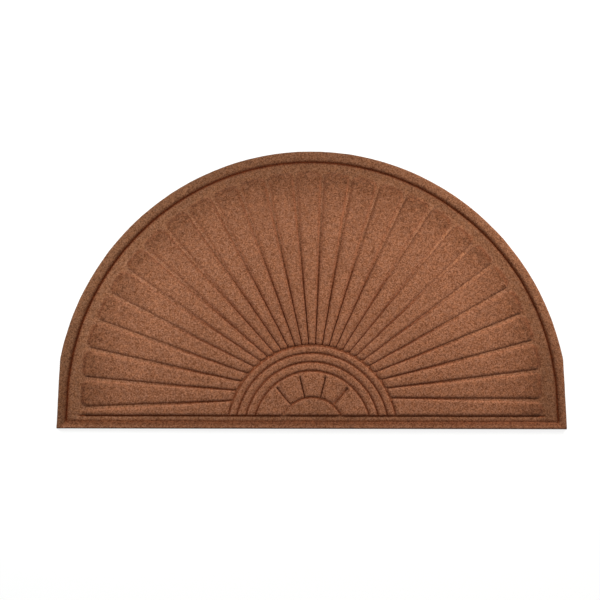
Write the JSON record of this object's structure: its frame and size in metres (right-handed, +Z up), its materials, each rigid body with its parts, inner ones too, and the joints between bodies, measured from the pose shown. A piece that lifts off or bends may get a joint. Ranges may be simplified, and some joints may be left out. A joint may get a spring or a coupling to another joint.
{
  "type": "half-round doormat",
  "caption": "Half-round moulded entrance mat: needle-punched fibre face with a raised fan and sunrise relief, rim bead and low border, on a flat rubber backing.",
  "frame": {"origin": "middle of the mat's outline box in plan, on the surface that the mat lies on", "axes": "+X along the straight edge, +Y from the straight edge towards the round edge, +Z up through the fibre face"},
  "size_m": [0.9906, 0.5636, 0.0094],
  "materials": {
    "backing_rubber": "matt moulded black rubber sheet",
    "face_fibre": "heathered brown needle-punched polypropylene, pressed into a soft matt relief"
  },
  "bodies": {
    "root": {"backing": "backing_rubber", "face": "face_fibre"}
  },
  "joints": []
}
